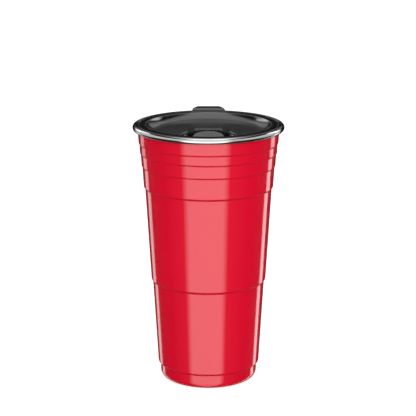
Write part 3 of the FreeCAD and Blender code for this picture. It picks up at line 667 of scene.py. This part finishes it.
def drill_vent(piece):
    """Cuts the air vent through the bay's floor: a round rod of rings along Z taken away from the lid."""
    angle = np.linspace(0, 2 * np.pi, 48, endpoint=False)
    circle = np.column_stack([VENT_RADIUS * np.cos(angle), VENT_Y + VENT_RADIUS * np.sin(angle)])
    heights = (BAY_UNDER - 1, BAY_FLOOR + 1)
    rings = np.array([np.column_stack([circle, np.full(48, height)]) for height in heights])
    rod = solid("vent_rod", rings, [(0, VENT_Y, heights[0]), (0, VENT_Y, heights[1])])
    cut = piece.modifiers.new("vent", "BOOLEAN")
    cut.object = rod
    cut.operation = "DIFFERENCE"
    cut.solver = "EXACT"
    bpy.context.view_layer.update()
    evaluated = piece.evaluated_get(bpy.context.evaluated_depsgraph_get())
    drilled = bpy.data.meshes.new_from_object(evaluated)
    piece.modifiers.clear()
    piece.data = drilled
    bpy.data.objects.remove(rod)


# Finishes


class Wire:
    """A shader value: sums, differences, products and quotients with it add Math nodes."""

    def __init__(self, finish, socket):
        self.finish = finish
        self.socket = socket

    def _math(self, operation, first, second):
        return self.finish.node("ShaderNodeMath", {"operation": operation}, {0: first, 1: second})

    def __add__(self, other):
        return self._math("ADD", self, other)

    def __sub__(self, other):
        return self._math("SUBTRACT", self, other)

    def __rsub__(self, other):
        return self._math("SUBTRACT", other, self)

    def __mul__(self, other):
        return self._math("MULTIPLY", self, other)

    def __truediv__(self, other):
        return self._math("DIVIDE", self, other)

    def __rtruediv__(self, other):
        return self._math("DIVIDE", other, self)

    __radd__ = __add__
    __rmul__ = __mul__


class Finish:
    """A node tree and the one method that adds its nodes."""

    def __init__(self, tree):
        self.tree = tree

    def node(self, kind, settings=None, inputs=None, output=0):
        """Adds a node: its settings are set first, then its sockets get values or links. Returns the output
        of that name or number, a list of them for a list, and nothing for None."""
        node = self.tree.nodes.new(kind)
        for name, setting in (settings or {}).items():
            setattr(node, name, setting)
        for name, content in (inputs or {}).items():
            socket = node.inputs[name]
            if isinstance(content, Wire):
                self.tree.links.new(content.socket, socket)
            else:
                socket.default_value = content
        if output is None:
            return None
        if isinstance(output, list):
            return [Wire(self, node.outputs[name]) for name in output]
        return Wire(self, node.outputs[output])

    def place(self):
        """Object coordinates, in metres."""
        return self.node("ShaderNodeTexCoord", output="Object")

    def split(self, vector):
        """The three parts of a vector."""
        return self.node("ShaderNodeSeparateXYZ", inputs={0: vector}, output=["X", "Y", "Z"])

    def from_axis(self, x, y):
        """Distance from the cup's axis: the root of x squared and y squared together."""
        return self.node("ShaderNodeMath", {"operation": "SQRT"}, {0: x * x + y * y})

    def noise(self, vector, scale, detail=2.0, roughness=0.5):
        """Noise from 0 to 1 at so many cells a metre."""
        inputs = {"Vector": vector, "Scale": scale, "Detail": detail, "Roughness": roughness}
        return self.node("ShaderNodeTexNoise", inputs=inputs)

    def lines(self, position, scale, detail=3.0):
        """One-dimensional noise along a value: fine parallel lines."""
        inputs = {"W": position, "Scale": scale, "Detail": detail, "Roughness": 0.6}
        return self.node("ShaderNodeTexNoise", {"noise_dimensions": "1D"}, inputs)

    def span(self, value, low, high, to_low, to_high):
        """Maps a value from one range to another, held inside it."""
        inputs = {"Value": value, "From Min": low, "From Max": high, "To Min": to_low, "To Max": to_high}
        return self.node("ShaderNodeMapRange", {"clamp": True}, inputs)

    def spans(self, value, rows):
        """The sum of several spans of one value."""
        return sum(self.span(value, *row) for row in rows)

    def window(self, value, low, high, soft):
        """1 between two values and 0 outside them, with edges as soft as given."""
        rise = self.span(value, low - soft, low + soft, 0, 1)
        return rise * self.span(value, high - soft, high + soft, 1, 0)

    def mix(self, factor, first, second):
        """One colour faded into another."""
        inputs = {"Factor": factor, "A": first, "B": second}
        return self.node("ShaderNodeMix", {"data_type": "RGBA"}, inputs, output="Result")

    def bump(self, height, distance, strength=1.0):
        """A normal that leans with a height, for relief of that depth in metres."""
        inputs = {"Height": height, "Distance": distance, "Strength": strength}
        return self.node("ShaderNodeBump", inputs=inputs)

    def principled(self, inputs):
        """Ends the tree with a Principled shader."""
        shader = self.node("ShaderNodeBsdfPrincipled", inputs=inputs)
        self.node("ShaderNodeOutputMaterial", inputs={"Surface": shader}, output=None)


def new_finish(name):
    """A material with an empty tree, and its Finish."""
    material = bpy.data.materials.new(name)
    material.use_nodes = True
    material.node_tree.nodes.clear()
    return material, Finish(material.node_tree)


def grey(tone, blue=1.0):
    """A grey of that tone, with its blue part times a share."""
    return (tone, tone, tone * blue, 1)


def red_coat():
    """Glossy red coat: a faint drift in its colour, the soft ripple that sprayed coats set with, and in each
    groove a matt line without the coat, its colour darkened as painted shade."""
    material, finish = new_finish("red_coat")
    place = finish.place()
    height = finish.split(place)[2] / MM
    reach_down, share_of_rise, soft = COAT_LINE
    groove = sum(
        finish.window(height, foot - reach_down, foot + reach_down + share_of_rise * rise, soft)
        for foot, radius, step, rise in TIERS
    )
    drift = finish.noise(place, 22, 3)
    ripple = finish.noise(place, 900, 2)
    finish.principled({
        # In each groove the base colour is darkened: painted shade.
        "Base Color": finish.mix(groove, finish.mix(drift, COAT_DEEP, COAT_PALE), COAT_GROOVE_SHADE),
        "Roughness": finish.span(drift, 0.3, 0.7, 0.38, 0.46),
        "Specular IOR Level": 0.05,
        "Coat Weight": 1 - groove,
        "Coat Roughness": 0.03,
        "Normal": finish.bump(ripple, 0.00001, 0.15),
    })
    return material


def bare_steel():
    """Bare steel: fine turning lines round the axis, a polish that drifts a little, and a dark tone painted
    on the roll's crown, on its inner side next to the lid and under it, as painted dark reflection and shade."""
    material, finish = new_finish("bare_steel")
    place = finish.place()
    x, y, z = finish.split(place)
    radius = finish.from_axis(x, y)
    rise, out = z / MM - LIP_CENTRE[1], radius / MM - LIP_CENTRE[0]
    # Darker steel on the crown, inside next to the lid and under the roll: painted shade and dark reflection.
    crown = finish.span(rise, 1.70, 2.0, 0, 1)
    inner = finish.span(rise, 0.85, 1.15, 0, 1) * finish.span(out, -0.76, -0.26, 1, 0)
    under = finish.span(rise, -1.25, -0.35, 0.8, 0) * finish.span(out, -0.86, -0.46, 0, 1)
    lines = finish.lines(radius + z, 9000)
    drift = finish.noise(place, 60, 3)
    polished = finish.mix(lines, STEEL_DEEP, STEEL_PALE)
    finish.principled({
        "Base Color": finish.mix(crown + inner + under, polished, STEEL_PAINTED_SHADE),
        "Metallic": 1.0,
        "Roughness": finish.span(lines * 0.6 + drift * 0.4, 0.3, 0.7, 0.10, 0.15),
        "Normal": finish.bump(lines, 0.000004, 0.5),
    })
    return material


def base_steel(name, tone, rough):
    """Satin pressed steel: a fine all-over grain and a few broad stains of tone."""
    material, finish = new_finish(name)
    place = finish.place()
    grain = finish.noise(place, 2500, 4, 0.7)
    stain = finish.noise(place, 70, 3)
    finish.principled({
        "Base Color": finish.mix(stain, grey(tone * 0.85), grey(tone * 1.05, 1.01)),
        "Metallic": 1.0,
        "Roughness": finish.span(grain, 0.3, 0.7, rough - 0.06, rough + 0.06),
        "Normal": finish.bump(grain, 0.00002, 0.4),
    })
    return material


def black_plastic(name, tone, rough, shine):
    """Moulded black plastic: the fine spark texture of its mould and slow changes in gloss."""
    material, finish = new_finish(name)
    place = finish.place()
    spark = finish.noise(place, 3200, 3, 0.6)
    drift = finish.noise(place, 45, 2)
    finish.principled({
        "Base Color": finish.mix(drift, grey(tone * 0.9, 1.033), grey(tone, 1.04)),
        "Roughness": finish.span(spark * 0.5 + drift * 0.5, 0.3, 0.7, rough - 0.04, rough + 0.05),
        "Specular IOR Level": shine,
        "Normal": finish.bump(spark, 0.000012, 0.35),
    })
    return material


def lid_plastic():
    """The lid's black plastic: a glossy flange and tab, a satin dish, and two thin paler lines on the edges
    of flange and dish, which are painted highlights."""
    material, finish = new_finish("black_plastic")
    place = finish.place()
    x, y, z = finish.split(place)
    radius = finish.from_axis(x, y) / MM
    spark = finish.noise(place, 3200, 3, 0.6)
    drift = finish.noise(place, 45, 2)
    # Paler lines at the flange's and the dish's edges: painted highlights.
    outer_line = finish.window(radius, FLANGE_RADIUS - 0.35, FLANGE_RADIUS + 0.2, 0.05)
    inner_line = finish.window(radius, DISH_RADIUS - 0.45, DISH_RADIUS + 0.25, 0.15)
    line = (outer_line * 0.65 + inner_line * 0.3) * finish.window(z / MM, *GLINT_HEIGHTS, 0.1)
    gloss = finish.span(radius, DISH_RADIUS + 0.1, DISH_RADIUS + 0.4, 0, 1)
    finish.principled({
        "Base Color": finish.mix(line, LID_BLACK, LID_PAINTED_GLINT),
        "Roughness": (gloss * (LID_GLOSS - LID_SATIN) + LID_SATIN
                      + finish.span(spark * 0.5 + drift * 0.5, 0.3, 0.7, -0.02, 0.03)),
        "Specular IOR Level": 1.0,
        "Normal": finish.bump(spark, 0.000012, 0.25),
    })
    return material


def soft_rubber(name, tone):
    """Matt silicone: a dusty bloom and a fine grain."""
    material, finish = new_finish(name)
    place = finish.place()
    grain = finish.noise(place, 1800, 4, 0.65)
    bloom = finish.noise(place, 90, 3)
    finish.principled({
        "Base Color": finish.mix(bloom, grey(tone), grey(tone * 1.35, 1.037)),
        "Roughness": finish.span(grain, 0.3, 0.7, 0.62, 0.74),
        "Normal": finish.bump(grain, 0.00003, 0.4),
    })
    return material


# Studio


def seen_directly(finish):
    """1 for camera, glossy and transmission rays, and 0 for the rays that light things."""
    names = ["Is Camera Ray", "Is Glossy Ray", "Is Transmission Ray"]
    camera_ray, glossy_ray, clear_ray = finish.node("ShaderNodeLightPath", output=names)
    either = finish.node("ShaderNodeMath", {"operation": "MAXIMUM"}, {0: glossy_ray, 1: clear_ray})
    return finish.node("ShaderNodeMath", {"operation": "MAXIMUM"}, {0: camera_ray, 1: either})


def world():
    """White where it is seen, and a soft grey as light."""
    sky = bpy.data.worlds.new("studio")
    bpy.context.scene.world = sky
    sky.use_nodes = True
    sky.node_tree.nodes.clear()
    finish = Finish(sky.node_tree)
    strength = finish.span(seen_directly(finish), 0, 1, AMBIENT, 1.0)
    light = finish.node("ShaderNodeBackground", inputs={"Color": WHITE, "Strength": strength})
    finish.node("ShaderNodeOutputWorld", inputs={"Surface": light}, output=None)


def floor():
    """A wide pale floor: it takes the lamps' light and the shadow, and glows enough to meet the white."""
    side = FLOOR_SIDE
    mesh = bpy.data.meshes.new("floor")
    corners = [(-side, -side, 0), (side, -side, 0), (side, side, 0), (-side, side, 0)]
    mesh.from_pydata(corners, [], [(0, 1, 2, 3)])
    piece = bpy.data.objects.new("floor", mesh)
    bpy.context.scene.collection.objects.link(piece)
    material, finish = new_finish("floor_paper")
    matt = finish.node("ShaderNodeBsdfDiffuse", inputs={"Color": grey(FLOOR_TONE)})
    strength = finish.span(seen_directly(finish), 0, 1, FLOOR_BOUNCE, FLOOR_GLOW)
    glow = finish.node("ShaderNodeEmission", inputs={"Color": WHITE, "Strength": strength})
    both = finish.node("ShaderNodeAddShader", inputs={0: matt, 1: glow})
    finish.node("ShaderNodeOutputMaterial", inputs={"Surface": both}, output=None)
    mesh.materials.append(material)
    piece.visible_glossy = False


def surround():
    """The studio as the gloss sees it: a closed dark drum round the cup, turned as the pieces are, with
    panels on its wall by azimuth and height, a glow on the wall behind, and a soft box on its ceiling. Only
    reflections see it."""
    profile = np.array([(0, CEILING), (WALL, CEILING), (WALL, PIT), (0, PIT)], float)
    room = turned("dark_room", profile, 96)
    material, finish = new_finish("dark_room")
    x, y, z = finish.split(finish.place())
    azimuth = finish.node("ShaderNodeMath", {"operation": "ARCTAN2"}, {0: x, 1: 0 - y}) * (180 / math.pi)
    behind = finish.node("ShaderNodeMath", {"operation": "ABSOLUTE"}, {0: azimuth})
    panels = sum(
        finish.window(azimuth, first, last, soft) * finish.span(z, *change, *bright)
        for first, last, soft, bright, change in PANELS
    )
    wall = panels * finish.span(z, *PANEL_FOOT, PANEL_FOOT_SHARE, 1)
    wall = wall + finish.span(behind, *BACK_EDGE, 0, 1) * finish.spans(z, BACK_GLOW)
    half, front, back = CEILING_BOX
    box = finish.window(x, -half, half, CEILING_SOFT[0]) * finish.window(y, front, back, CEILING_SOFT[1])
    top = CEILING * MM
    on_ceiling = finish.span(z, top - 0.02, top - 0.01, 0, 1)
    level = wall * (1 - on_ceiling) + on_ceiling * box * finish.spans(y, CEILING_SHINE)
    colour = finish.mix(level / PEAK, grey(0), WHITE)
    light = finish.node("ShaderNodeEmission", inputs={"Color": colour, "Strength": PEAK})
    finish.node("ShaderNodeOutputMaterial", inputs={"Surface": light}, output=None)
    material.cycles.emission_sampling = "NONE"
    room.data.materials.append(material)
    room.visible_camera = False
    room.visible_diffuse = False
    room.visible_shadow = False


def lamp(name, place, side, power):
    """A square area lamp at a place, turned to the aim. Its own reflection is left to the surround."""
    data = bpy.data.lights.new(name, "AREA")
    data.shape = "SQUARE"
    data.size = side
    data.energy = power
    holder = bpy.data.objects.new(name, data)
    bpy.context.scene.collection.objects.link(holder)
    across, along_y, down = np.array(LAMP_AIM, float) - np.array(place, float)
    holder.location = place
    tilt = math.pi / 2 + math.atan2(down, math.hypot(across, along_y))
    holder.rotation_euler = (tilt, 0, math.atan2(-across, along_y))
    holder.visible_glossy = False


def camera():
    """The photograph's camera: distance, pitch and focal length from the fit to the cup's rings."""
    pitch = math.radians(CAMERA_PITCH)
    data = bpy.data.cameras.new("camera")
    data.sensor_width = SENSOR
    data.lens = SENSOR * FOCAL_PIXELS / FRAME_PIXELS
    data.shift_x = -AXIS_OFFSET_PIXELS / FRAME_PIXELS
    holder = bpy.data.objects.new("camera", data)
    bpy.context.scene.collection.objects.link(holder)
    back, up = CAMERA_DISTANCE * math.cos(pitch), CAMERA_DISTANCE * math.sin(pitch)
    holder.location = (0, -back, TARGET_HEIGHT + up)
    holder.rotation_euler = (math.pi / 2 - pitch, 0, 0)
    bpy.context.scene.camera = holder


# Assembly: each piece with the body it rides on, its finish and the solid it stands for, which is hidden.
# The hinge arms have a duller finish of their own within the lid's.
finishes = {
    "red_coat": red_coat(),
    "bare_steel": bare_steel(),
    "base_steel": base_steel("base_steel", 0.66, 0.34),
    "getter_metal": base_steel("getter_metal", 0.42, 0.55),
    "black_plastic": lid_plastic(),
    "matt_plastic": black_plastic("matt_plastic", 0.006, 0.42, 0.04),
    "seal_rubber": soft_rubber("seal_rubber", 0.035),
    "cap_plastic": black_plastic("cap_plastic", 0.010, 0.26, 1.0),
    "stopper_rubber": soft_rubber("stopper_rubber", 0.05),
}
lid_piece = lid_body()
drill_vent(lid_piece)
pieces = [
    (outer_shell(), "cup", "red_coat", "outer_shell"),
    (inner_liner(), "cup", "bare_steel", "inner_liner"),
    (base_plate(), "cup", "base_steel", "base_plate"),
    (lid_piece, "lid", "black_plastic", "lid"),
    (tab_root(), "lid", "black_plastic", "lid"),
    (tab_plate(), "lid", "black_plastic", "lid"),
    (hinge_arm("lid_arm_right", 1), "lid", "matt_plastic", "lid"),
    (hinge_arm("lid_arm_left", -1), "lid", "matt_plastic", "lid"),
    (gasket(), "lid", "seal_rubber", "lid_gasket"),
    (cap_bar(), "cap", "cap_plastic", "flip_cap"),
    (cap_web(), "cap", "cap_plastic", "flip_cap"),
    (cap_pad(), "cap", "cap_plastic", "flip_cap"),
    (cap_pins(), "cap", "cap_plastic", "flip_cap"),
    (stopper(), "cap", "stopper_rubber", "cap_stopper"),
]
for piece, body, finish_name, node in pieces:
    piece.data.materials.append(finishes[finish_name])
    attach(piece, body)
    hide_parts(node)
pellet = frame["nodes"]["getter_pellet"]
pellet.data.materials.clear()
pellet.data.materials.append(finishes["getter_metal"])

world()
floor()
surround()
for row in LAMPS:
    lamp(*row)
camera()
bpy.context.scene.view_settings.view_transform = "Standard"
